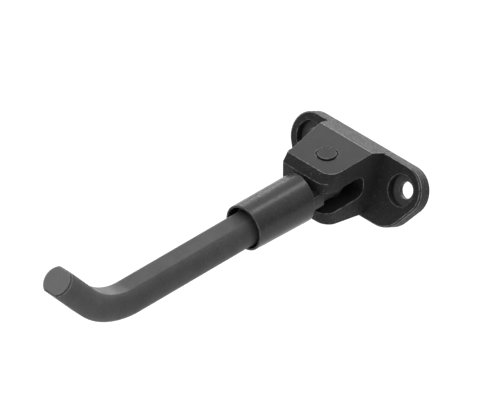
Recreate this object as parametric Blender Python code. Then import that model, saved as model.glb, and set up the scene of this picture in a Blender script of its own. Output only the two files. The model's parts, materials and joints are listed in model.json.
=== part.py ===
"""A side stand: a cast bracket with a tilted screw flange, a hinge pin, a bent leg bar and the
spring-loaded sleeve over the root of the bar.

The origin is the point where the leg's centre line meets the mounting face. The leg runs towards
-Y, the hinge pin stands along +Z, and the leg folds towards +X. Lengths are in metres.
"""

import math

import bmesh
import bpy
from mathutils import Vector
from mathutils.geometry import convex_hull_2d

# Flange: a plate that leans back at the top, with its two ears round the screw holes.
FLANGE_TILT = math.radians(25.6)
FLANGE_THICKNESS = 0.0049
HOLE_SPACING = 0.0432
HOLE_DROP = 0.0017
HOLE_RADIUS = 0.0029
COUNTERBORE_RADIUS = 0.0055
COUNTERBORE_DEPTH = 0.0029
EAR_RADIUS = 0.0085
LOBE_RADIUS = 0.011
LOBE_OFFSET = 0.0156
LOBE_DROP = 0.0061
FLANGE_EDGE = 0.0006

# Housing: the block that holds the pin. Its left side flares towards the flange.
PIN_FORWARD = 0.0183
HOUSING_FRONT = 0.0107
HOUSING_TOP = 0.011
HOUSING_RIGHT = 0.0103
HOUSING_LEFT_FRONT = 0.0107
HOUSING_LEFT_FLARE = 0.22
FLARE_START = 0.003
FRONT_CORNER_RADIUS = 0.0045
LEFT_CORNER_RADIUS = 0.0012
CHAMFER_BACK = 0.0023
CHAMFER_DOWN = 0.0031
UNDERSIDE_AT_PIN = 0.0105
UNDERSIDE_SLOPE = 0.2
UNDERSIDE_BACK = -0.005
HOUSING_BURIED = 0.006

# Slot for the leg's tongue, open at the front and on the right.
SLOT_HALF_HEIGHT = 0.0041
SLOT_REAR = 0.007
SLOT_CORNER = 0.003
WEB_FACE = 0.006

# Hinge pin, with its head in a ring recess of the top face.
PIN_RADIUS = 0.00275
PIN_HEAD_RADIUS = 0.00325
PIN_HEAD_PROUD = 0.0004
PIN_HEAD_HEIGHT = 0.002
PIN_EDGE = 0.0002
RING_RECESS_RADIUS = 0.0039
RING_RECESS_DEPTH = 0.0005
SPOTFACE_RADIUS = 0.0052
SPOTFACE_LEVEL = 0.0086
CLIP_RADIUS = 0.0046
CLIP_THICKNESS = 0.0007
CLIP_GROOVE_DEPTH = 0.0006
PIN_TAIL = 0.0009
BUSH_WALL = 0.0007
WASHER_THICKNESS = 0.0005
WASHER_RADIUS = 0.0048

# Leg bar: a round bar with two flats, a tongue at its root and a bent foot.
BAR_RADIUS = 0.006
BAR_HALF_FLATS = 0.00525
BAR_ROOT = 0.0146
CORNER_DISTANCE = 0.1045
FOOT_LENGTH = 0.0284
FOOT_BEND = math.radians(50)
BEND_RADIUS = 0.0262
FOOT_END_EDGE = 0.0006
FOOT_TAPER = 0.9
FOOT_RISE = 0.0012
TONGUE_RADIUS = 0.0056
TONGUE_HALF_HEIGHT = 0.0033
TONGUE_EDGE = 0.0012
TONGUE_OVERLAP = 0.004

# Sleeve, the spring inside it and the ring and washer that hold the spring's outer end.
SLEEVE_START = 0.013
SLEEVE_LENGTH = 0.026
SLEEVE_ROOT_RADIUS = 0.00845
SLEEVE_MOUTH_RADIUS = 0.00815
SLEEVE_BORE = 0.0074
SLEEVE_TILT = math.radians(1.3)
SLEEVE_LIP_BORE = 0.0063
SLEEVE_LIP_START = 0.0018
SLEEVE_SLANT_SIDE = 0.12
SLEEVE_SLANT_UP = 0.06
SLEEVE_LIP_LENGTH = 0.0018
SLEEVE_EDGE = 0.0002
LUG_LENGTH = 0.0034
LUG_FROM = math.radians(-4)
LUG_TO = math.radians(26)
LUG_ROOT = 0.0019
SPRING_RADIUS = 0.0065
SPRING_WIRE = 0.00035
SPRING_TURNS = 8
SPRING_POINTS_PER_TURN = 18
CLOSED_COIL_PITCH = 2.2 * SPRING_WIRE
SEAT_START = 0.0339
SEAT_THICKNESS = 0.0008
SEAT_RADIUS = 0.00685
RING_THICKNESS = 0.0009
RING_RADIUS = 0.00675
RING_GROOVE_DEPTH = 0.0005
RING_OPENING = math.radians(50)

RUNNING_GAP = 0.0001
SEAT_GAP = 0.0003
SEGMENTS = 64
REACH = 0.08
CUT_DEPTH = 0.012
OVERSHOOT = 0.001
TOP_STEP = 0.00005

LEG_AXIS = Vector((0, -PIN_FORWARD, 0))
FLANGE_UP = Vector((0, math.sin(FLANGE_TILT), math.cos(FLANGE_TILT)))
FLANGE_FRONT = Vector((0, -math.cos(FLANGE_TILT), math.sin(FLANGE_TILT)))


def clear_scene():
    for item in list(bpy.data.objects):
        bpy.data.objects.remove(item, do_unlink=True)


def metal(name, colour, roughness, metallic):
    material = bpy.data.materials.new(name)
    material.use_nodes = True
    shader = material.node_tree.nodes["Principled BSDF"]
    shader.inputs["Base Color"].default_value = (*colour, 1)
    shader.inputs["Roughness"].default_value = roughness
    shader.inputs["Metallic"].default_value = metallic
    return material


def finish(name, bm, material=None, parent=None):
    """Turns the bmesh, in world coordinates, into an object that hangs from its joint's empty."""
    bmesh.ops.remove_doubles(bm, verts=bm.verts, dist=1e-7)
    bmesh.ops.recalc_face_normals(bm, faces=bm.faces)
    mesh = bpy.data.meshes.new(name)
    if parent:
        bmesh.ops.translate(bm, verts=bm.verts, vec=-parent.location)
    bm.to_mesh(mesh)
    bm.free()
    piece = bpy.data.objects.new(name, mesh)
    bpy.context.collection.objects.link(piece)
    piece.parent = parent
    mesh.shade_smooth()
    mesh.set_sharp_from_angle(angle=math.radians(35))
    if material:
        mesh.materials.append(material)
    return piece


def cut(piece, bm, operation="DIFFERENCE"):
    """Cuts the piece with the bmesh, or joins or intersects it, by an exact Boolean."""
    tool = finish(piece.name + "_tool", bm, parent=piece.parent)
    tool.hide_render = True
    tool.display_type = "WIRE"
    modifier = piece.modifiers.new(operation.title(), "BOOLEAN")
    modifier.operation = operation
    modifier.solver = "EXACT"
    modifier.object = tool


def loft(rows):
    """Closed mesh through rows of points, one row after the other, with a flat cap at each end."""
    bm = bmesh.new()
    rings = [[bm.verts.new(point) for point in row] for row in rows]
    for low, high in zip(rings, rings[1:]):
        for i in range(len(low)):
            j = (i + 1) % len(low)
            bm.faces.new((low[i], low[j], high[j], high[i]))
    bm.faces.new(reversed(rings[0]))
    bm.faces.new(rings[-1])
    return bm


def arc(centre, radius, start, end, steps):
    """Points along an arc, from the start angle to the end angle."""
    angles = [start + (end - start) * i / steps for i in range(steps + 1)]
    return [(centre[0] + radius * math.cos(a), centre[1] + radius * math.sin(a)) for a in angles]


def turned(profile, place, segments=SEGMENTS):
    """Closed profile of (radius, height) points turned round an axis; place(x, y, height) sets it."""
    bm = bmesh.new()
    rings = []
    for i in range(segments):
        a = math.tau * i / segments
        rings.append([bm.verts.new(place(r * math.cos(a), r * math.sin(a), h)) for r, h in profile])
    for i, ring in enumerate(rings):
        after = rings[(i + 1) % segments]
        for j in range(len(profile)):
            k = (j + 1) % len(profile)
            if profile[j][0] or profile[k][0]:
                bm.faces.new((ring[j], after[j], after[k], ring[k]))
    bmesh.ops.remove_doubles(bm, verts=bm.verts, dist=1e-7)
    bmesh.ops.dissolve_degenerate(bm, edges=bm.edges, dist=1e-8)
    return bm


def on_pin(x, y, height):
    return LEG_AXIS + Vector((x, y, height))


def on_leg(x, y, distance):
    return LEG_AXIS + Vector((x, -distance, y))


def on_sleeve(x, y, distance):
    """As on_leg, but about the sleeve's own axis, which rises a little towards the mouth."""
    along = distance - SLEEVE_START - SLEEVE_LIP_START
    axis = Vector((0, -math.cos(SLEEVE_TILT), math.sin(SLEEVE_TILT)))
    up = Vector((0, math.sin(SLEEVE_TILT), math.cos(SLEEVE_TILT)))
    return on_leg(x, 0, SLEEVE_START + SLEEVE_LIP_START) + axis * along + up * y


def on_flange(across, up, forward):
    return Vector((across, 0, 0)) + FLANGE_UP * up + FLANGE_FRONT * forward


def disc(radius, low, high, place, edge=0.0):
    """A solid cylinder, with its upper edge broken by a small chamfer if asked."""
    top = [(radius - edge, high)] if edge else []
    return turned([(0, low), (radius, low), (radius, high - edge), *top, (0, high)], place)


def ring(inner, outer, low, high, place):
    return turned([(inner, low), (outer, low), (outer, high), (inner, high)], place)


def flange_outline():
    """The hull of the two ears and of the two wide corners of the lobe below them."""
    circles = [(side * HOLE_SPACING / 2, -HOLE_DROP, EAR_RADIUS) for side in (-1, 1)]
    circles += [(side * LOBE_OFFSET, -LOBE_DROP, LOBE_RADIUS) for side in (-1, 1)]
    points = []
    for x, y, radius in circles:
        points += arc((x, y), radius, 0, math.tau, 48)[:-1]
    return [points[i] for i in convex_hull_2d([Vector(p) for p in points])]


def flange():
    outline = flange_outline()
    shrink = 1 - FLANGE_EDGE / (HOLE_SPACING / 2 + EAR_RADIUS)
    rows = [(1, -OVERSHOOT), (1, FLANGE_THICKNESS - FLANGE_EDGE), (shrink, FLANGE_THICKNESS)]
    return loft([[on_flange(x * k, y * k, depth) for x, y in outline] for k, depth in rows])


def housing_side_view():
    """Outline in (Y, Z): square front, and a top and an underside that slope towards the flange."""
    front = -PIN_FORWARD - HOUSING_FRONT
    under_front = -UNDERSIDE_AT_PIN + UNDERSIDE_SLOPE * HOUSING_FRONT
    under_back = under_front + UNDERSIDE_SLOPE * (front - UNDERSIDE_BACK)
    top_edge = EAR_RADIUS - HOLE_DROP + TOP_STEP
    behind = on_flange(0, top_edge, -OVERSHOOT)
    rise = (HOUSING_TOP - behind.z) / math.sin(FLANGE_TILT)
    crest = behind + FLANGE_FRONT * rise
    return [
        (front, under_front),
        (UNDERSIDE_BACK, under_back),
        (behind.y, behind.z),
        (crest.y, HOUSING_TOP),
        (front, HOUSING_TOP),
    ]


def housing_plan_view(setback=0.0):
    """Outline in (X, Y): straight right side, flared left side and round front corners."""
    front = -PIN_FORWARD - HOUSING_FRONT + setback
    back = HOUSING_BURIED
    left = -HOUSING_LEFT_FRONT
    radius = FRONT_CORNER_RADIUS
    corner = arc((HOUSING_RIGHT - radius, front + radius), radius, -math.pi / 2, 0, 12)
    small = LEFT_CORNER_RADIUS
    left_corner = arc((left + small, front + small), small, math.pi, 1.5 * math.pi, 4)
    flare_front = front + FLARE_START
    flare = left - HOUSING_LEFT_FLARE * (back - flare_front)
    return [*corner, (HOUSING_RIGHT, back), (flare, back), (left, flare_front), *left_corner]


def housing_column():
    """The plan view drawn upwards, with its front set back past the foot of the top chamfer."""
    shoulder = HOUSING_TOP - CHAMFER_DOWN
    last = CHAMFER_BACK * (CHAMFER_DOWN + OVERSHOOT) / CHAMFER_DOWN
    levels = [(0.0, -REACH), (0.0, shoulder), (last, HOUSING_TOP + OVERSHOOT)]
    return loft([[along_z(x, y, z) for x, y in housing_plan_view(back)] for back, z in levels])


def slot_side_view():
    """Outline in (Y, Z), open at the front, with two round corners at the rear."""
    rear = -PIN_FORWARD + SLOT_REAR
    half = SLOT_HALF_HEIGHT
    radius = SLOT_CORNER
    front = -PIN_FORWARD - 2 * HOUSING_FRONT
    lower = arc((rear - radius, radius - half), radius, -math.pi / 2, 0, 8)
    upper = arc((rear - radius, half - radius), radius, 0, math.pi / 2, 8)
    return [(front, -half), *lower, *upper, (front, half)]


def prism(outline, low, high, place):
    return loft([[place(a, b, c) for a, b in outline] for c in (low, high)])


def along_x(y, z, x):
    return Vector((x, y, z))


def along_z(x, y, z):
    return Vector((x, y, z))


def make_bracket(material):
    """One casting: housing and flange, with the slot, the pin bore and the screw holes cut in."""
    bracket = finish("bracket", prism(housing_side_view(), -REACH, REACH, along_x), material)
    cut(bracket, housing_column(), "INTERSECT")
    cut(bracket, flange(), "UNION")
    square = [(-REACH, -REACH), (REACH, -REACH), (REACH, REACH), (-REACH, REACH)]
    cut(bracket, prism(square, -REACH, 0, on_flange))
    cut(bracket, prism(slot_side_view(), -WEB_FACE, 2 * HOUSING_RIGHT, along_x))
    floor = HOUSING_TOP - PIN_HEAD_HEIGHT
    bore = PIN_RADIUS + RUNNING_GAP
    head_bore = PIN_HEAD_RADIUS + RUNNING_GAP
    profile = [
        (0, -REACH),
        (SPOTFACE_RADIUS, -REACH),
        (SPOTFACE_RADIUS, -SPOTFACE_LEVEL),
        (bore, -SPOTFACE_LEVEL),
        (bore, floor),
        (head_bore, floor),
        (head_bore, HOUSING_TOP - RING_RECESS_DEPTH),
        (RING_RECESS_RADIUS, HOUSING_TOP - RING_RECESS_DEPTH),
        (RING_RECESS_RADIUS, REACH),
        (0, REACH),
    ]
    cut(bracket, turned(profile, on_pin))
    ledge = FLANGE_THICKNESS - COUNTERBORE_DEPTH
    profile = [
        (0, -CUT_DEPTH),
        (HOLE_RADIUS, -CUT_DEPTH),
        (HOLE_RADIUS, ledge),
        (COUNTERBORE_RADIUS, ledge),
        (COUNTERBORE_RADIUS, CUT_DEPTH),
        (0, CUT_DEPTH),
    ]
    for side in (-1, 1):

        def at_hole(x, y, forward, side=side):
            return on_flange(side * HOLE_SPACING / 2 + x, y - HOLE_DROP, forward)

        cut(bracket, turned(profile, at_hole))


def make_pin(material, clip_material):
    """The headed pin and the clip in the groove at its lower end."""
    shoulder = HOUSING_TOP - PIN_HEAD_HEIGHT + RUNNING_GAP
    top = HOUSING_TOP + PIN_HEAD_PROUD
    clip_top = -SPOTFACE_LEVEL - RUNNING_GAP
    clip_low = clip_top - CLIP_THICKNESS
    groove = PIN_RADIUS - CLIP_GROOVE_DEPTH
    end = clip_low - PIN_TAIL
    profile = [
        (0, end),
        (PIN_RADIUS - PIN_EDGE, end),
        (PIN_RADIUS, end + PIN_EDGE),
        (PIN_RADIUS, clip_low - RUNNING_GAP),
        (groove, clip_low - RUNNING_GAP),
        (groove, clip_top + RUNNING_GAP / 2),
        (PIN_RADIUS, clip_top + RUNNING_GAP / 2),
        (PIN_RADIUS, shoulder),
        (PIN_HEAD_RADIUS, shoulder),
        (PIN_HEAD_RADIUS, top - PIN_EDGE),
        (PIN_HEAD_RADIUS - PIN_EDGE, top),
        (0, top),
    ]
    finish("hinge_pin", turned(profile, on_pin), material)
    inner = groove + RUNNING_GAP
    outline = open_ring(inner, CLIP_RADIUS, math.radians(70), math.pi / 2)
    clip = prism(outline, clip_low, clip_top, on_pin)
    finish("pin_retaining_clip", clip, clip_material)


def open_ring(inner, outer, opening, towards):
    """Outline of a flat ring with a gap that faces one way."""
    start = towards + opening / 2
    end = towards + math.tau - opening / 2
    return arc((0, 0), outer, start, end, 40) + arc((0, 0), inner, end, start, 40)


def make_washers(material):
    low = TONGUE_HALF_HEIGHT + RUNNING_GAP
    high = low + WASHER_THICKNESS
    bore = PIN_RADIUS + RUNNING_GAP
    finish("upper_thrust_washer", ring(bore, WASHER_RADIUS, low, high, on_pin), material)
    finish("lower_thrust_washer", ring(bore, WASHER_RADIUS, -high, -low, on_pin), material)


def bar_section():
    """Round section with a flat above and below, as (X, up) points."""
    half = math.asin(BAR_HALF_FLATS / BAR_RADIUS)
    right = arc((0, 0), BAR_RADIUS, -half, half, 14)
    left = arc((0, 0), BAR_RADIUS, math.pi - half, math.pi + half, 14)
    return right + left


def bar_stations():
    """(distance from the pin, height, slope, section scale) at each section along the bar."""
    tangent = BEND_RADIUS * math.tan(FOOT_BEND / 2)
    start = CORNER_DISTANCE - tangent
    edge = FOOT_END_EDGE / BAR_RADIUS
    stations = [(BAR_ROOT, 0, 0, 1 - edge), (BAR_ROOT + FOOT_END_EDGE, 0, 0, 1)]
    steps = 14
    for i in range(steps + 1):
        a = FOOT_BEND * i / steps
        height = BEND_RADIUS * (1 - math.cos(a)) + FOOT_RISE * i / steps
        scale = 1 - (1 - FOOT_TAPER) * i / steps
        stations.append((start + BEND_RADIUS * math.sin(a), height, a, scale))
    for back, scale in ((FOOT_END_EDGE, FOOT_TAPER), (0, FOOT_TAPER - edge)):
        reach = FOOT_LENGTH - back
        along = CORNER_DISTANCE + reach * math.cos(FOOT_BEND)
        stations.append((along, reach * math.sin(FOOT_BEND) + FOOT_RISE, FOOT_BEND, scale))
    return stations


def tongue_outline(radius):
    """Plan outline in (X, distance): round at the eye, square where it runs into the bar."""
    end = BAR_ROOT + TONGUE_OVERLAP
    return [*arc((0, 0), radius, math.pi, math.tau, 20), (radius, end), (-radius, end)]


def make_leg(material, bush_material, hinge):
    """The leg bar with its tongue and eye, and the bush pressed into the eye."""
    section = bar_section()
    rows = []
    for distance, height, slope, scale in bar_stations():
        middle = on_leg(0, height, distance)
        upright = Vector((0, math.sin(slope), math.cos(slope)))
        rows.append([middle + Vector((x * scale, 0, 0)) + upright * (y * scale) for x, y in section])
    bar = finish("leg_bar", loft(rows), material, hinge)
    narrow = TONGUE_RADIUS - TONGUE_EDGE
    shoulder = TONGUE_HALF_HEIGHT - TONGUE_EDGE
    levels = [(narrow, -TONGUE_HALF_HEIGHT), (TONGUE_RADIUS, -shoulder)]
    levels += [(TONGUE_RADIUS, shoulder), (narrow, TONGUE_HALF_HEIGHT)]
    tongue = loft([[on_leg(x, z, d) for x, d in tongue_outline(r)] for r, z in levels])
    cut(bar, tongue, "UNION")
    bush_inner = PIN_RADIUS + RUNNING_GAP
    bush_outer = bush_inner + BUSH_WALL
    cut(bar, disc(bush_outer + RUNNING_GAP, -CUT_DEPTH, CUT_DEPTH, on_pin))
    groove = BAR_RADIUS - RING_GROOVE_DEPTH
    start = SEAT_START + SEAT_THICKNESS
    end = start + RING_THICKNESS + 2 * RUNNING_GAP
    cut(bar, ring(groove, 2 * BAR_RADIUS, start, end, on_leg))
    height = TONGUE_HALF_HEIGHT - RUNNING_GAP
    finish("pivot_bush", ring(bush_inner, bush_outer, -height, height, on_pin), bush_material, hinge)


def make_sleeve(material, slide):
    """Turned sleeve with an inner lip for the spring and one lug that reaches into the slot."""

    def with_slant(x, y, distance):
        share = max(0.0, 1 - (distance - SLEEVE_START) / SLEEVE_LIP_START)
        return on_sleeve(x, y, distance + share * (SLEEVE_SLANT_SIDE * x - SLEEVE_SLANT_UP * y))

    end = SLEEVE_START + SLEEVE_LENGTH
    lip = SLEEVE_START + SLEEVE_LIP_START
    edge = SLEEVE_EDGE
    profile = [
        (SLEEVE_BORE, SLEEVE_START),
        (SLEEVE_ROOT_RADIUS - edge, SLEEVE_START),
        (SLEEVE_ROOT_RADIUS, SLEEVE_START + edge),
        (SLEEVE_MOUTH_RADIUS, end - edge),
        (SLEEVE_MOUTH_RADIUS - edge, end),
        (SLEEVE_BORE, end),
        (SLEEVE_BORE, lip + SLEEVE_LIP_LENGTH),
        (SLEEVE_LIP_BORE, lip + SLEEVE_LIP_LENGTH),
        (SLEEVE_LIP_BORE, lip),
        (SLEEVE_BORE, lip),
    ]
    sleeve = finish("lock_sleeve", turned(profile, with_slant), material, slide)
    outer = SLEEVE_ROOT_RADIUS - edge / 2
    inner = SLEEVE_BORE + edge / 2
    outline = arc((0, 0), outer, LUG_FROM, LUG_TO, 6) + arc((0, 0), inner, LUG_TO, LUG_FROM, 6)
    lug = prism(outline, SLEEVE_START - LUG_LENGTH, SLEEVE_START + LUG_ROOT, on_sleeve)
    cut(sleeve, lug, "UNION")


def make_spring(material, slide):
    """Compression spring between the sleeve's lip and the seat washer, as a bevelled curve."""
    lip_end = SLEEVE_START + SLEEVE_LIP_START + SLEEVE_LIP_LENGTH
    start = lip_end + SPRING_WIRE + RUNNING_GAP
    end = SEAT_START - SPRING_WIRE - RUNNING_GAP
    per_turn = SPRING_POINTS_PER_TURN
    count = SPRING_TURNS * per_turn
    closed = per_turn
    pitch_closed = CLOSED_COIL_PITCH / per_turn
    middle = (end - start - 2 * closed * pitch_closed) / (count - 2 * closed)
    curve = bpy.data.curves.new("sleeve_spring", "CURVE")
    curve.dimensions = "3D"
    curve.bevel_depth = SPRING_WIRE
    curve.bevel_resolution = 1
    curve.use_fill_caps = True
    spline = curve.splines.new("POLY")
    spline.points.add(count)
    along = start
    for i, point in enumerate(spline.points):
        a = math.tau * i / per_turn
        place = on_leg(SPRING_RADIUS * math.cos(a), SPRING_RADIUS * math.sin(a), along)
        point.co = (*(place - slide.location), 1)
        along += pitch_closed if i < closed or i >= count - closed else middle
    spring = bpy.data.objects.new("sleeve_spring", curve)
    bpy.context.collection.objects.link(spring)
    spring.parent = slide
    curve.materials.append(material)


def make_spring_seat(material, ring_material, hinge):
    """The loose washer under the spring and the open ring that holds it on the bar."""
    bore = BAR_RADIUS + RUNNING_GAP
    end = SEAT_START + SEAT_THICKNESS
    finish("spring_seat_washer", ring(bore, SEAT_RADIUS, SEAT_START, end, on_leg), material, hinge)
    inner = BAR_RADIUS - RING_GROOVE_DEPTH + RUNNING_GAP
    outline = open_ring(inner, RING_RADIUS, RING_OPENING, 0)
    low = end + RUNNING_GAP
    snap = prism(outline, low, low + RING_THICKNESS, on_leg)
    finish("spring_retaining_ring", snap, ring_material, hinge)


def joint_empty(name, place):
    empty = bpy.data.objects.new(name, None)
    bpy.context.collection.objects.link(empty)
    empty.location = place
    return empty


def main():
    clear_scene()
    cast = metal("cast_black", (0.035, 0.035, 0.037), 0.55, 0.2)
    coated = metal("coated_black", (0.05, 0.05, 0.052), 0.45, 0.2)
    steel = metal("spring_steel", (0.35, 0.35, 0.36), 0.35, 1.0)
    bronze = metal("bush_bronze", (0.45, 0.3, 0.14), 0.4, 1.0)
    plastic = metal("washer_plastic", (0.06, 0.06, 0.06), 0.5, 0.0)
    hinge = joint_empty("leg_hinge_axis", LEG_AXIS)
    slide = joint_empty("sleeve_slide_axis", LEG_AXIS)
    make_bracket(cast)
    make_pin(coated, steel)
    make_washers(plastic)
    make_leg(coated, bronze, hinge)
    make_sleeve(coated, slide)
    make_spring(steel, slide)
    make_spring_seat(steel, steel, hinge)


main()
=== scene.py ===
"""The looks of the side stand: soft edges, procedural finishes, the coil spring, the floor, the
light and the camera.

The frame gives every CAD part in metres. The leg runs towards -Y from the hinge pin, the pin
stands along +Z and the leg folds towards +X.
"""

import json
import math

import bmesh
import bpy
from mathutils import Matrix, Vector

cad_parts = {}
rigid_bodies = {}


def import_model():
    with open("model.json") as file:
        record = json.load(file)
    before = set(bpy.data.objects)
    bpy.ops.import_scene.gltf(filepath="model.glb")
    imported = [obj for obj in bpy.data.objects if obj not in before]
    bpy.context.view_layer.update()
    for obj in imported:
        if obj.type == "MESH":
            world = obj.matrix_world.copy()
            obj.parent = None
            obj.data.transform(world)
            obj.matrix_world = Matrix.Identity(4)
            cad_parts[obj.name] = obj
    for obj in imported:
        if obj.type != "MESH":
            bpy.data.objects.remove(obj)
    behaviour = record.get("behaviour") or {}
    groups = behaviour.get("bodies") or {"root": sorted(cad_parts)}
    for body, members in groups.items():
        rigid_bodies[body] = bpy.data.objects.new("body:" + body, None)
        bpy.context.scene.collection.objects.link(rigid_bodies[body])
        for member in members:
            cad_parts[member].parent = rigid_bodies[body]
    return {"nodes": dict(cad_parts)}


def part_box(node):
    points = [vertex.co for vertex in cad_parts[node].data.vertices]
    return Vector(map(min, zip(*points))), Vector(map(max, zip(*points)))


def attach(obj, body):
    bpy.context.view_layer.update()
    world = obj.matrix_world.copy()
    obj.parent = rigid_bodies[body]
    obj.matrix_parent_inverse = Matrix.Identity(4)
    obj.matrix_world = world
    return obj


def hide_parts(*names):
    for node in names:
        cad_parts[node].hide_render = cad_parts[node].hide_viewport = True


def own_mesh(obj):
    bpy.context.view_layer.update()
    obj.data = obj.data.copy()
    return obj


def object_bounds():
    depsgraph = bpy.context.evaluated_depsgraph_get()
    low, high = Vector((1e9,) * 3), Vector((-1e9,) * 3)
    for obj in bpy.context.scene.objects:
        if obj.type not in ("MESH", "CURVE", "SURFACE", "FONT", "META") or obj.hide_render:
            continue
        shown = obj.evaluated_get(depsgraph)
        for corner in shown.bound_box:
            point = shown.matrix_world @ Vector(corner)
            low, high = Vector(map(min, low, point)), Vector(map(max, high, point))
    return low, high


for startup_object in list(bpy.data.objects):
    bpy.data.objects.remove(startup_object)

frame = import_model()
cad_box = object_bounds()
scene = bpy.context.scene

MM = 0.001

# Flange: tilted about X, with two counterbored screw holes.
FLANGE_TILT = math.radians(25.6)
HOLE_SPACING = 43.2 * MM
HOLE_DROP = 1.7 * MM
MACHINED_RADIUS = 5.55 * MM
MACHINED_FRONT = 4.6 * MM
MASK_FADE = 0.1 * MM
BACK_CLEAR = 0.05 * MM
RING_PITCH = 0.4 * MM

# Pin and leg.
PIN_FORWARD = 18.3 * MM
FOOT_BEND = math.radians(50)
# The painted highlight on the bar's edges fades in from this far from the foot's end and is full
# from this far.
RIM_START = 1.5 * MM
RIM_FULL = 1.0 * MM

# Spring round the bar, from the sleeve's lip to the seat washer.
SPRING_RADIUS = 6.5 * MM
SPRING_WIRE = 0.35 * MM
SPRING_TURNS = 8
SPRING_STEPS = 40
SPRING_SIDES = 10
CLOSED_COIL_PITCH = 2.2 * SPRING_WIRE

# Tones of the black coating, of bare places, of its bright specks and of the painted highlight on
# broken edges.
CAST_TONE = 0.022
# Counterbore floors: bare metal, made lighter still as painted light.
LIT_MACHINED_TONE = 0.14
BAR_TONE = 0.058
SAWN_TONE = 0.26
SLEEVE_TONE = 0.03
PIN_TONE = 0.014
SPECK_TONE = 0.42
EDGE_HIGHLIGHT_TONE = 0.27
WASHER_TONES = (0.045, 0.07)
FLOOR_TONES = (0.91, 0.94)

# Share of the painted highlight tone on broken edges.
EDGE_HIGHLIGHT_SHARE = 0.9
SLEEVE_HIGHLIGHT_SHARE = 0.7

# Each bare metal's colour and its lowest and highest roughness.
BLACK_STEEL = ((0.05, 0.05, 0.052), 0.4, 0.55)
STEEL = ((0.42, 0.42, 0.43), 0.28, 0.42)
BRONZE = ((0.5, 0.33, 0.16), 0.32, 0.48)

# Sizes of the coating's clouds, grain, specks, patches of specks and patches of the painted edge
# highlight.
CLOUD_SIZE = 7 * MM
GRAIN_SIZE = 0.35 * MM
SPECK_SIZE = 0.45 * MM
PATCH_SIZE = 2.4 * MM
EDGE_HIGHLIGHT_SIZE = 1.2 * MM

# Sizes and depths of the casting's grain and pits.
CAST_GRAIN_SIZE = 0.8 * MM
CAST_GRAIN_DEPTH = 0.65 * MM
CAST_PIT_SIZE = 0.7 * MM
CAST_PIT_DEPTH = 0.04 * MM

# How strongly each coating reflects.
CAST_GLOSS = 0.22
BAR_GLOSS = 0.2
SLEEVE_GLOSS = 0.26
PIN_GLOSS = 0.2

# Edges turned by more than this are sharp. Faces turned by less than this are one.
SHARP_ANGLE = math.radians(24)
FLAT_ANGLE = math.radians(0.4)
EDGE_STEPS = 2

# Widths of the broken edges.
BRACKET_EDGE = 0.18 * MM
BAR_EDGE = 0.15 * MM
METAL_EDGE = 0.08 * MM
WASHER_EDGE = 0.06 * MM

# Vertices nearer than this are one. Parts with wide edges also lose steps this small.
SPLIT_GAP = 0.001 * MM
SMALLEST_STEP = 0.1 * MM

# Camera: turned about the pin and raised, far away with a long lens.
CAMERA_AZIMUTH = math.radians(45.6)
CAMERA_ELEVATION = math.radians(36.4)
CAMERA_DISTANCE = 2.2
CAMERA_LENS = 498.1
AIM_ACROSS = -29.4 * MM
AIM_UP = -8.9 * MM
CAMERA_SENSOR = 36
CAMERA_REACH = 10

# Light: the room is bright from above and behind, and dim in front.
ROOM_BRIGHT_SIDE = (-0.35, 0.3, 0.89)
ROOM_SPREAD = (-0.2, 0.9, 0.08, 1.1)
BACK_POWER = 7.5
BACK_PLACE = (-0.6, 0.95, 0.2)
BACK_SIZE = (0.9, 0.5)
STRIP_POWER = 4
STRIP_PLACE = (-0.01, 0.56, 0.84)
STRIP_SIZE = (0.14, 0.9)
LIGHT_TARGET = (0, -0.05, 0)

# The stand hangs from its screw holes, clear of the floor.
FLOOR_DROP = 90 * MM
FLOOR_SIZE = 6


RANGE_SOCKETS = ("From Min", "From Max", "To Min", "To Max")


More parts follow.
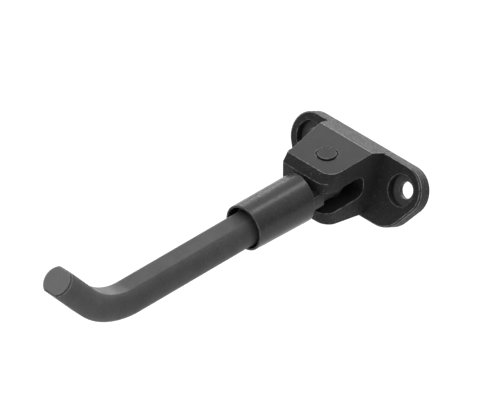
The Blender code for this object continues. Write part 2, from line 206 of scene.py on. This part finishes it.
class Graph:
    """Short words for building one material's nodes."""

    def __init__(self, name):
        self.material = bpy.data.materials.new(name)
        self.material.use_nodes = True
        self.tree = self.material.node_tree
        self.shader = self.tree.nodes["Principled BSDF"]
        self.place = self.add("ShaderNodeTexCoord")

    def add(self, kind, **settings):
        node = self.tree.nodes.new(kind)
        for key, value in settings.items():
            setattr(node, key, value)
        return node

    def put(self, socket, value):
        """Links an output into a socket, or sets a plain value on it."""
        if isinstance(value, bpy.types.NodeSocket):
            self.tree.links.new(value, socket)
        else:
            socket.default_value = value

    def math(self, operation, first, second=0.0):
        node = self.add("ShaderNodeMath", operation=operation)
        self.put(node.inputs[0], first)
        self.put(node.inputs[1], second)
        return node.outputs[0]

    def vector(self, operation, first, second=(0, 0, 0), output="Vector"):
        node = self.add("ShaderNodeVectorMath", operation=operation)
        self.put(node.inputs[0], first)
        self.put(node.inputs[1], second)
        return node.outputs[output]

    def between(self, value, low, high, start=0.0, end=1.0):
        """Maps a value smoothly from low..high to start..end, held at both ends."""
        node = self.add("ShaderNodeMapRange", interpolation_type="SMOOTHSTEP")
        self.put(node.inputs["Value"], value)
        for name, number in zip(RANGE_SOCKETS, (low, high, start, end)):
            node.inputs[name].default_value = number
        return node.outputs["Result"]

    def noise(self, size, detail=3.0, roughness=0.55, stretch=(1, 1, 1)):
        """Noise whose features are about size metres across, stretched along the object's axes."""
        scaled = self.vector("MULTIPLY", self.place.outputs["Object"], stretch)
        node = self.add("ShaderNodeTexNoise")
        self.put(node.inputs["Vector"], scaled)
        self.put(node.inputs["Scale"], 1 / size)
        self.put(node.inputs["Detail"], detail)
        self.put(node.inputs["Roughness"], roughness)
        return node.outputs["Fac"]

    def cells(self, size):
        """Distance to the nearest of many scattered points about size metres apart."""
        node = self.add("ShaderNodeTexVoronoi", feature="F1")
        self.put(node.inputs["Vector"], self.place.outputs["Object"])
        self.put(node.inputs["Scale"], 1 / size)
        return node.outputs["Distance"]

    def mix(self, share, first, second):
        """Blends two numbers."""
        node = self.add("ShaderNodeMix", data_type="FLOAT")
        self.put(node.inputs["Factor"], share)
        self.put(node.inputs[2], first)
        self.put(node.inputs[3], second)
        return node.outputs[0]

    def blend(self, share, first, second):
        """Blends two colours."""
        node = self.add("ShaderNodeMix", data_type="RGBA")
        self.put(node.inputs["Factor"], share)
        self.put(node.inputs[6], first)
        self.put(node.inputs[7], second)
        return node.outputs[2]

    def bump(self, height, depth, before=None):
        """Raises the surface by height times depth metres, on top of an earlier bump."""
        node = self.add("ShaderNodeBump")
        self.put(node.inputs["Height"], height)
        self.put(node.inputs["Distance"], depth)
        if before is not None:
            self.put(node.inputs["Normal"], before)
        return node.outputs["Normal"]

    def facing(self, direction, low, high):
        """1 where the surface faces a direction given in the object's own frame."""
        along = self.vector("DOT_PRODUCT", self.place.outputs["Normal"], direction, "Value")
        return self.between(along, low, high)

    def finish(self, colour, roughness, normal, metallic=0.0, gloss=0.5):
        """Puts the looks on the shader and gives back the material."""
        self.put(self.shader.inputs["Base Color"], colour)
        self.put(self.shader.inputs["Roughness"], roughness)
        self.put(self.shader.inputs["Normal"], normal)
        self.put(self.shader.inputs["Metallic"], metallic)
        self.put(self.shader.inputs["Specular IOR Level"], gloss)
        return self.material


def grey(value):
    """A grey that is very slightly blue."""
    return (value, value, value * 1.01, 1.0)


def axis_distance(graph, centre, axis):
    """Distance from a line through centre along axis, as an output."""
    offset = graph.vector("SUBTRACT", graph.place.outputs["Object"], centre)
    across = graph.vector("CROSS_PRODUCT", offset, axis)
    return graph.vector("LENGTH", across, output="Value")


def coating(graph, tone, sparkle, painted_highlight, calm=0.0):
    """The black coating's colour: cloudy patches, fine grain, sparse specks and a painted highlight
    on broken edges.
    """
    cloud = graph.noise(CLOUD_SIZE, 4.0)
    grain = graph.noise(GRAIN_SIZE, 3.0, 0.7)
    speck = graph.between(graph.noise(SPECK_SIZE, 2.0, 0.6), 0.62, 0.74)
    patch = graph.between(graph.noise(PATCH_SIZE, 2.0), 0.4, 0.6, 0.3, 1.0)
    colour = graph.blend(graph.between(cloud, 0.3, 0.7), grey(tone * 0.88), grey(tone * 1.12))
    grain = graph.between(grain, 0.35, 0.75, 0.0, 0.4)
    speck = graph.math("MULTIPLY", graph.math("MULTIPLY", speck, patch), sparkle)
    rough_area = graph.math("SUBTRACT", 1.0, calm)
    colour = graph.blend(graph.math("MULTIPLY", grain, rough_area), colour, grey(tone * 2.2))
    colour = graph.blend(graph.math("MULTIPLY", speck, rough_area), colour, grey(SPECK_TONE))
    # Painted highlight: broken edges get a patchy lighter tone for the light they catch.
    if painted_highlight:
        highlight_patches = graph.between(graph.noise(EDGE_HIGHLIGHT_SIZE, 3.0), 0.38, 0.6, 0.3 * painted_highlight, painted_highlight)
        colour = graph.blend(highlight_patches, colour, grey(EDGE_HIGHLIGHT_TONE))
    return colour


def cast_finish(name, painted_highlight):
    """Coated cast metal: grainy sides, a smoother top and counterbores with a turned floor, painted
    lighter than their walls: partly bare metal, partly painted light.
    """
    graph = Graph(name)
    top = graph.facing((0, 0, 1), 0.97, 0.995)
    up = Vector((0, math.sin(FLANGE_TILT), math.cos(FLANGE_TILT)))
    front = Vector((0, -math.cos(FLANGE_TILT), math.sin(FLANGE_TILT)))
    machined = None
    rings = None
    for side in (-1, 1):
        centre = Vector((side * HOLE_SPACING / 2, 0, 0)) - up * HOLE_DROP
        distance = axis_distance(graph, centre, front)
        inside = graph.between(distance, MACHINED_RADIUS, MACHINED_RADIUS - MASK_FADE)
        machined = inside if machined is None else graph.math("MAXIMUM", machined, inside)
        rings = distance if rings is None else graph.math("MINIMUM", rings, distance)
    depth = graph.vector("DOT_PRODUCT", graph.place.outputs["Object"], front, "Value")
    inner = graph.between(depth, MACHINED_FRONT, MACHINED_FRONT - MASK_FADE)
    inner = graph.math("MULTIPLY", inner, graph.between(depth, BACK_CLEAR, BACK_CLEAR + MASK_FADE))
    machined = graph.math("MULTIPLY", machined, inner)
    # Painted light on the counterbore floors: the bare floor is painted lighter than the wall, as if
    # lit.
    lit_machined_floor = graph.math("MULTIPLY", machined, graph.facing(tuple(front), 0.85, 0.95))
    calm_top = graph.math("MULTIPLY", top, 0.93)
    calm = graph.math("MAXIMUM", calm_top, graph.math("MULTIPLY", machined, 0.4))
    colour = coating(graph, CAST_TONE, 0.55, painted_highlight, calm)
    colour = graph.blend(lit_machined_floor, colour, grey(LIT_MACHINED_TONE))
    coarse = graph.noise(CAST_GRAIN_SIZE, 4.0, 0.7)
    pits = graph.between(graph.cells(CAST_PIT_SIZE), 0.0, 0.45)
    wave = graph.math("SINE", graph.math("MULTIPLY", rings, math.tau / RING_PITCH))
    scratch = graph.noise(0.5 * MM, 3.0, 0.7, (1, 1, 0.35))
    rough = graph.between(graph.noise(2.5 * MM, 3.0), 0.3, 0.7, 0.46, 0.56)
    rough = graph.mix(machined, rough, 0.34)
    rough = graph.mix(top, rough, 0.42)
    if painted_highlight:
        rough = 0.3
    normal = graph.bump(graph.mix(calm, coarse, 0.5), CAST_GRAIN_DEPTH)
    normal = graph.bump(graph.mix(calm, pits, 0.5), CAST_PIT_DEPTH, normal)
    normal = graph.bump(graph.math("MULTIPLY", wave, machined), 0.015 * MM, normal)
    normal = graph.bump(graph.math("MULTIPLY", scratch, machined), 0.08 * MM, normal)
    return graph.finish(colour, rough, normal, gloss=CAST_GLOSS)


def bar_finish(name, painted_highlight):
    """Coated drawn bar: faint lengthwise lines, and a sawn face at the end of the foot."""
    graph = Graph(name)
    lines = graph.noise(0.22 * MM, 3.0, 0.6, (1, 0.04, 1))
    end_direction = Vector((0, -math.cos(FOOT_BEND), math.sin(FOOT_BEND)))
    sawn = graph.facing(end_direction, 0.9, 0.97)
    faces = coating(graph, BAR_TONE, 0.15, 0.0)
    colour = faces
    # Painted highlight on the broken edges near the foot's end: a bright rim.
    if painted_highlight:
        reach = max(vertex.co.dot(end_direction) for vertex in nodes["leg_bar"].data.vertices)
        depth = graph.vector("DOT_PRODUCT", graph.place.outputs["Object"], end_direction, "Value")
        rim = graph.between(depth, reach - RIM_START, reach - RIM_FULL)
        colour = graph.blend(rim, faces, coating(graph, BAR_TONE, 0.15, painted_highlight))
    colour = graph.blend(graph.math("MULTIPLY", sawn, 0.7), colour, grey(SAWN_TONE))
    grain = graph.noise(0.5 * MM, 4.0, 0.6)
    granular = graph.noise(0.4 * MM, 4.0, 0.75)
    rough = graph.between(graph.noise(3 * MM, 3.0), 0.3, 0.7, 0.48, 0.56)
    normal = graph.bump(graph.mix(sawn, grain, granular), 0.05 * MM)
    normal = graph.bump(graph.math("MULTIPLY", sawn, granular), 0.25 * MM, normal)
    normal = graph.bump(lines, 0.012 * MM, normal)
    return graph.finish(colour, rough, normal, gloss=BAR_GLOSS)


def sleeve_finish(name, painted_highlight):
    """Coated turned sleeve with fine lines round it and a slightly beaded coating."""
    graph = Graph(name)
    colour = coating(graph, SLEEVE_TONE, 0.2, painted_highlight)
    lines = graph.noise(0.25 * MM, 3.0, 0.6, (0.03, 1, 0.03))
    beads = graph.between(graph.cells(0.7 * MM), 0.0, 0.35)
    few = graph.between(graph.noise(2.2 * MM, 2.0), 0.58, 0.7)
    rough = graph.between(graph.noise(2 * MM, 3.0), 0.3, 0.7, 0.26, 0.32)
    normal = graph.bump(graph.noise(0.6 * MM, 4.0, 0.6), 0.035 * MM)
    normal = graph.bump(graph.math("MULTIPLY", beads, few), 0.03 * MM, normal)
    normal = graph.bump(lines, 0.012 * MM, normal)
    return graph.finish(colour, rough, normal, gloss=SLEEVE_GLOSS)


def pin_finish(name, painted_highlight):
    """Turned pin head: fine rings round its axis."""
    graph = Graph(name)
    colour = coating(graph, PIN_TONE, 0.3, painted_highlight)
    distance = axis_distance(graph, Vector((0, -PIN_FORWARD, 0)), Vector((0, 0, 1)))
    wave = graph.math("SINE", graph.math("MULTIPLY", distance, math.tau / RING_PITCH))
    rough = graph.between(graph.noise(1.5 * MM, 3.0), 0.3, 0.7, 0.42, 0.5)
    normal = graph.bump(graph.noise(0.4 * MM, 4.0, 0.6), 0.05 * MM)
    normal = graph.bump(wave, 0.004 * MM, normal)
    return graph.finish(colour, rough, normal, gloss=PIN_GLOSS)


def bare_metal(name, tone, low, high):
    """Uncoated metal with fine drawn lines and slight staining."""
    graph = Graph(name)
    stain = graph.noise(2 * MM, 3.0)
    dark = (tone[0] * 0.75, tone[1] * 0.72, tone[2] * 0.7, 1)
    colour = graph.blend(graph.between(stain, 0.35, 0.7), (*tone, 1), dark)
    lines = graph.noise(0.15 * MM, 3.0, 0.6, (1, 0.2, 1))
    rough = graph.between(graph.noise(0.8 * MM, 3.0), 0.3, 0.7, low, high)
    return graph.finish(colour, rough, graph.bump(lines, 0.01 * MM), 1.0)


def plastic_finish():
    """Black nylon, slightly cloudy."""
    graph = Graph("washer_plastic_finish")
    cloud = graph.noise(1.5 * MM, 3.0)
    colour = graph.blend(graph.between(cloud, 0.35, 0.7), *map(grey, WASHER_TONES))
    rough = graph.between(graph.noise(0.6 * MM, 3.0), 0.3, 0.7, 0.42, 0.55)
    return graph.finish(colour, rough, graph.bump(graph.noise(0.2 * MM, 2.0), 0.01 * MM))


def geometry_group(name):
    """An empty geometry nodes group with one geometry in and one out."""
    group = bpy.data.node_groups.new(name, "GeometryNodeTree")
    group.interface.new_socket("Geometry", in_out="INPUT", socket_type="NodeSocketGeometry")
    group.interface.new_socket("Geometry", in_out="OUTPUT", socket_type="NodeSocketGeometry")
    return group, group.nodes.new("NodeGroupInput"), group.nodes.new("NodeGroupOutput")


def over_angle(group, output):
    """True on the edges whose angle is over SHARP_ANGLE."""
    angle = group.nodes.new("GeometryNodeInputMeshEdgeAngle")
    over = group.nodes.new("FunctionNodeCompare")
    over.data_type = "FLOAT"
    over.operation = "GREATER_THAN"
    over.inputs[1].default_value = SHARP_ANGLE
    group.links.new(angle.outputs[output], over.inputs[0])
    return over.outputs[0]


def outer_edges_group():
    """Gives the sharp outer edges a bevel weight, and leaves the inner corners alone."""
    group, start, end = geometry_group("outer_edges")
    store = group.nodes.new("GeometryNodeStoreNamedAttribute")
    store.data_type = "FLOAT"
    store.domain = "EDGE"
    store.inputs["Name"].default_value = "bevel_weight_edge"
    group.links.new(start.outputs[0], store.inputs["Geometry"])
    group.links.new(over_angle(group, "Signed Angle"), store.inputs["Value"])
    group.links.new(store.outputs[0], end.inputs[0])
    return group


def smooth_by_angle_group():
    """Shades a mesh smooth and keeps its sharp edges."""
    group, start, end = geometry_group("smooth_by_angle")
    faces = group.nodes.new("GeometryNodeSetShadeSmooth")
    faces.domain = "FACE"
    edges = group.nodes.new("GeometryNodeSetShadeSmooth")
    edges.domain = "EDGE"
    edges.inputs["Shade Smooth"].default_value = False
    group.links.new(start.outputs[0], faces.inputs["Geometry"])
    group.links.new(faces.outputs[0], edges.inputs["Geometry"])
    group.links.new(over_angle(group, "Unsigned Angle"), edges.inputs["Selection"])
    group.links.new(edges.outputs[0], end.inputs[0])
    return group


def soften(node, width, edge_slot, mark, shade):
    """Joins the split vertices and flat faces, breaks the edges and evens the shading."""
    weld = node.modifiers.new("weld", "WELD")
    weld.merge_threshold = SMALLEST_STEP if width > SMALLEST_STEP else SPLIT_GAP
    flatten = node.modifiers.new("flatten", "DECIMATE")
    flatten.decimate_type = "DISSOLVE"
    flatten.angle_limit = FLAT_ANGLE
    node.modifiers.new("mark", "NODES").node_group = mark
    bevel = node.modifiers.new("edge", "BEVEL")
    bevel.limit_method = "WEIGHT"
    bevel.width = width
    bevel.segments = EDGE_STEPS
    bevel.material = edge_slot
    bevel.use_clamp_overlap = False
    node.modifiers.new("smooth", "NODES").node_group = shade
    weighted = node.modifiers.new("weighted", "WEIGHTED_NORMAL")
    weighted.keep_sharp = True
    weighted.mode = "FACE_AREA"


def paint(node, *materials):
    """Gives a node these materials, the last one for its broken edges."""
    node.data.materials.clear()
    for material in materials:
        node.data.materials.append(material)


def area_light(name, place, size, power):
    """A rectangular lamp aimed at the middle of the stand."""
    data = bpy.data.lights.new(name, "AREA")
    data.shape = "RECTANGLE"
    data.size, data.size_y = size
    data.energy = power
    light = bpy.data.objects.new(name, data)
    scene.collection.objects.link(light)
    light.location = place
    aim = Vector(LIGHT_TARGET) - Vector(place)
    light.rotation_euler = aim.to_track_quat("-Z", "Y").to_euler()


def make_floor(height):
    """A pale floor, well below the hanging object."""
    bpy.ops.mesh.primitive_plane_add(size=FLOOR_SIZE, location=(0, 0, height))
    floor = bpy.context.active_object
    floor.name = "floor"
    graph = Graph("floor_finish")
    cloud = graph.noise(300 * MM, 2.0)
    colour = graph.blend(cloud, *map(grey, FLOOR_TONES))
    paint(floor, graph.finish(colour, 0.9, graph.bump(graph.noise(2 * MM), 0.01 * MM)))


def make_light():
    """A room that is bright above and behind the object and dim in front, with two softboxes."""
    world = bpy.data.worlds.new("pale_room")
    scene.world = world
    world.use_nodes = True
    tree = world.node_tree
    direction = tree.nodes.new("ShaderNodeTexCoord")
    along = tree.nodes.new("ShaderNodeVectorMath")
    along.operation = "DOT_PRODUCT"
    along.inputs[1].default_value = ROOM_BRIGHT_SIDE
    spread = tree.nodes.new("ShaderNodeMapRange")
    spread.interpolation_type = "SMOOTHSTEP"
    for name, number in zip(RANGE_SOCKETS, ROOM_SPREAD):
        spread.inputs[name].default_value = number
    background = tree.nodes["Background"]
    background.inputs["Color"].default_value = (1, 1, 1, 1)
    tree.links.new(direction.outputs["Generated"], along.inputs[0])
    tree.links.new(along.outputs["Value"], spread.inputs["Value"])
    tree.links.new(spread.outputs["Result"], background.inputs["Strength"])
    area_light("back_softbox", BACK_PLACE, BACK_SIZE, BACK_POWER)
    area_light("top_strip", STRIP_PLACE, STRIP_SIZE, STRIP_POWER)


def make_camera():
    """A long lens far away, turned about the pin and raised."""
    turn, lift = CAMERA_AZIMUTH, CAMERA_ELEVATION
    right = Vector((math.cos(turn), math.sin(turn), 0))
    level = math.cos(lift)
    back = Vector((math.sin(turn) * level, -math.cos(turn) * level, math.sin(lift)))
    up = back.cross(right)
    aim = Vector((0, -PIN_FORWARD, 0)) + right * AIM_ACROSS + up * AIM_UP
    data = bpy.data.cameras.new("camera")
    data.lens = CAMERA_LENS
    data.sensor_width = CAMERA_SENSOR
    data.clip_end = CAMERA_REACH
    camera = bpy.data.objects.new("camera", data)
    scene.collection.objects.link(camera)
    camera.location = aim + back * CAMERA_DISTANCE
    camera.rotation_euler = back.to_track_quat("Z", "Y").to_euler()
    scene.camera = camera


def black_pair(make, name, painted_highlight):
    """The finish for a part's faces and the same finish, with a share of painted highlight, for its
    edges.
    """
    return make(name + "_finish", 0.0), make(name + "_edge", painted_highlight)


def make_spring():
    """The coil spring, from the sleeve's lip to its seat. Its end coils are closed."""
    low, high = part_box("sleeve_spring")
    start = high.y - SPRING_WIRE
    end = low.y + SPRING_WIRE
    centre = (low + high) / 2
    steps = SPRING_TURNS * SPRING_STEPS
    open_drop = (start - end - 2 * CLOSED_COIL_PITCH) / (steps - 2 * SPRING_STEPS)
    mesh = bmesh.new()
    rows = []
    along = start
    for i in range(steps + 1):
        turn = math.tau * i / SPRING_STEPS
        out = Vector((math.cos(turn), 0, math.sin(turn)))
        middle = Vector((centre.x, along, centre.z)) + out * SPRING_RADIUS
        row = []
        for k in range(SPRING_SIDES):
            angle = math.tau * k / SPRING_SIDES
            side = out * math.cos(angle) + Vector((0, math.sin(angle), 0))
            row.append(mesh.verts.new(middle + SPRING_WIRE * side))
        rows.append(row)
        closed = i < SPRING_STEPS or i >= steps - SPRING_STEPS
        along -= CLOSED_COIL_PITCH / SPRING_STEPS if closed else open_drop
    for first, second in zip(rows, rows[1:]):
        for k in range(SPRING_SIDES):
            after = (k + 1) % SPRING_SIDES
            mesh.faces.new((first[k], first[after], second[after], second[k]))
    mesh.faces.new(rows[0])
    mesh.faces.new(rows[-1])
    bmesh.ops.recalc_face_normals(mesh, faces=mesh.faces)
    for face in mesh.faces:
        face.smooth = True
    data = bpy.data.meshes.new("coil_spring")
    mesh.to_mesh(data)
    mesh.free()
    spring = bpy.data.objects.new("coil_spring", data)
    scene.collection.objects.link(spring)
    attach(spring, "leg")
    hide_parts("sleeve_spring")
    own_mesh(spring)
    return spring


nodes = frame["nodes"]
cast = black_pair(cast_finish, "cast_black", EDGE_HIGHLIGHT_SHARE)
bar = black_pair(bar_finish, "bar_black", EDGE_HIGHLIGHT_SHARE)
sleeve = black_pair(sleeve_finish, "sleeve_black", SLEEVE_HIGHLIGHT_SHARE)
pin = black_pair(pin_finish, "pin_black", EDGE_HIGHLIGHT_SHARE)
black_steel = bare_metal("black_steel_finish", *BLACK_STEEL)
steel = bare_metal("spring_steel_finish", *STEEL)
bronze = bare_metal("bush_bronze_finish", *BRONZE)
plastic = plastic_finish()
finishes = {
    "bracket": (cast, BRACKET_EDGE),
    "leg_bar": (bar, BAR_EDGE),
    "lock_sleeve": (sleeve, METAL_EDGE),
    "hinge_pin": (pin, METAL_EDGE),
    "pin_retaining_clip": ([steel], METAL_EDGE),
    "spring_retaining_ring": ([black_steel], METAL_EDGE),
    "spring_seat_washer": ([black_steel], METAL_EDGE),
    "pivot_bush": ([bronze], METAL_EDGE),
    "upper_thrust_washer": ([plastic], WASHER_EDGE),
    "lower_thrust_washer": ([plastic], WASHER_EDGE),
}
outer_edges = outer_edges_group()
by_angle = smooth_by_angle_group()
for name, (materials, edge) in finishes.items():
    paint(nodes[name], *materials)
    soften(nodes[name], edge, len(materials) - 1, outer_edges, by_angle)
paint(make_spring(), steel)

make_floor(cad_box[0].z - FLOOR_DROP)
make_light()
make_camera()
scene.view_settings.view_transform = "Standard"
